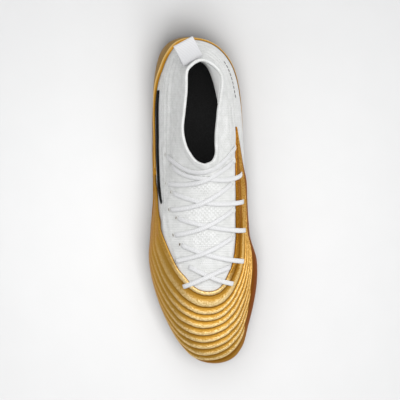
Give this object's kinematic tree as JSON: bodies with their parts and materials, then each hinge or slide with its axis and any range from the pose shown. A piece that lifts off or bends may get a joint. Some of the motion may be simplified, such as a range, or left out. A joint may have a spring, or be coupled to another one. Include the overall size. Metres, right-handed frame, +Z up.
{
  "type": "football cleat",
  "caption": "Mid-cut laced football cleat for the right foot: hollow knit bootie, ribbed forefoot skin, heel counter, moulded studded plate and pull tab.",
  "frame": {"origin": "middle of the shoe's footprint box, on the floor under the stud tips", "axes": "-Y towards the toe, +Y towards the heel, +X towards the medial (big toe) side, +Z up"},
  "size_m": [0.1004, 0.3004, 0.1162],
  "materials": {
    "plate": "gold moulded plate, satin",
    "studs": "gold moulded studs, satin",
    "knit": "white engineered knit",
    "footbed": "black brushed textile over foam",
    "skin": "gold metallic moulded skin with a fine grain",
    "counter": "matte gold moulded cup",
    "piping": "black moulded piping",
    "lace": "white woven lace",
    "webbing": "white woven webbing"
  },
  "bodies": {
    "root": {"sole_plate": "plate", "stud_01": "studs", "stud_02": "studs", "stud_03": "studs", "stud_04": "studs", "stud_05": "studs", "stud_06": "studs", "stud_07": "studs", "stud_08": "studs", "stud_09": "studs", "stud_10": "studs", "stud_11": "studs", "stud_12": "studs", "upper": "knit", "insole": "footbed", "forefoot_skin": "skin", "heel_counter": "counter", "side_piping": "piping", "lace_cross_1": "lace", "lace_cross_2": "lace", "lace_cross_3": "lace", "lace_cross_4": "lace", "lace_cross_5": "lace", "lace_cross_6": "lace", "pull_tab": "webbing"}
  },
  "joints": []
}
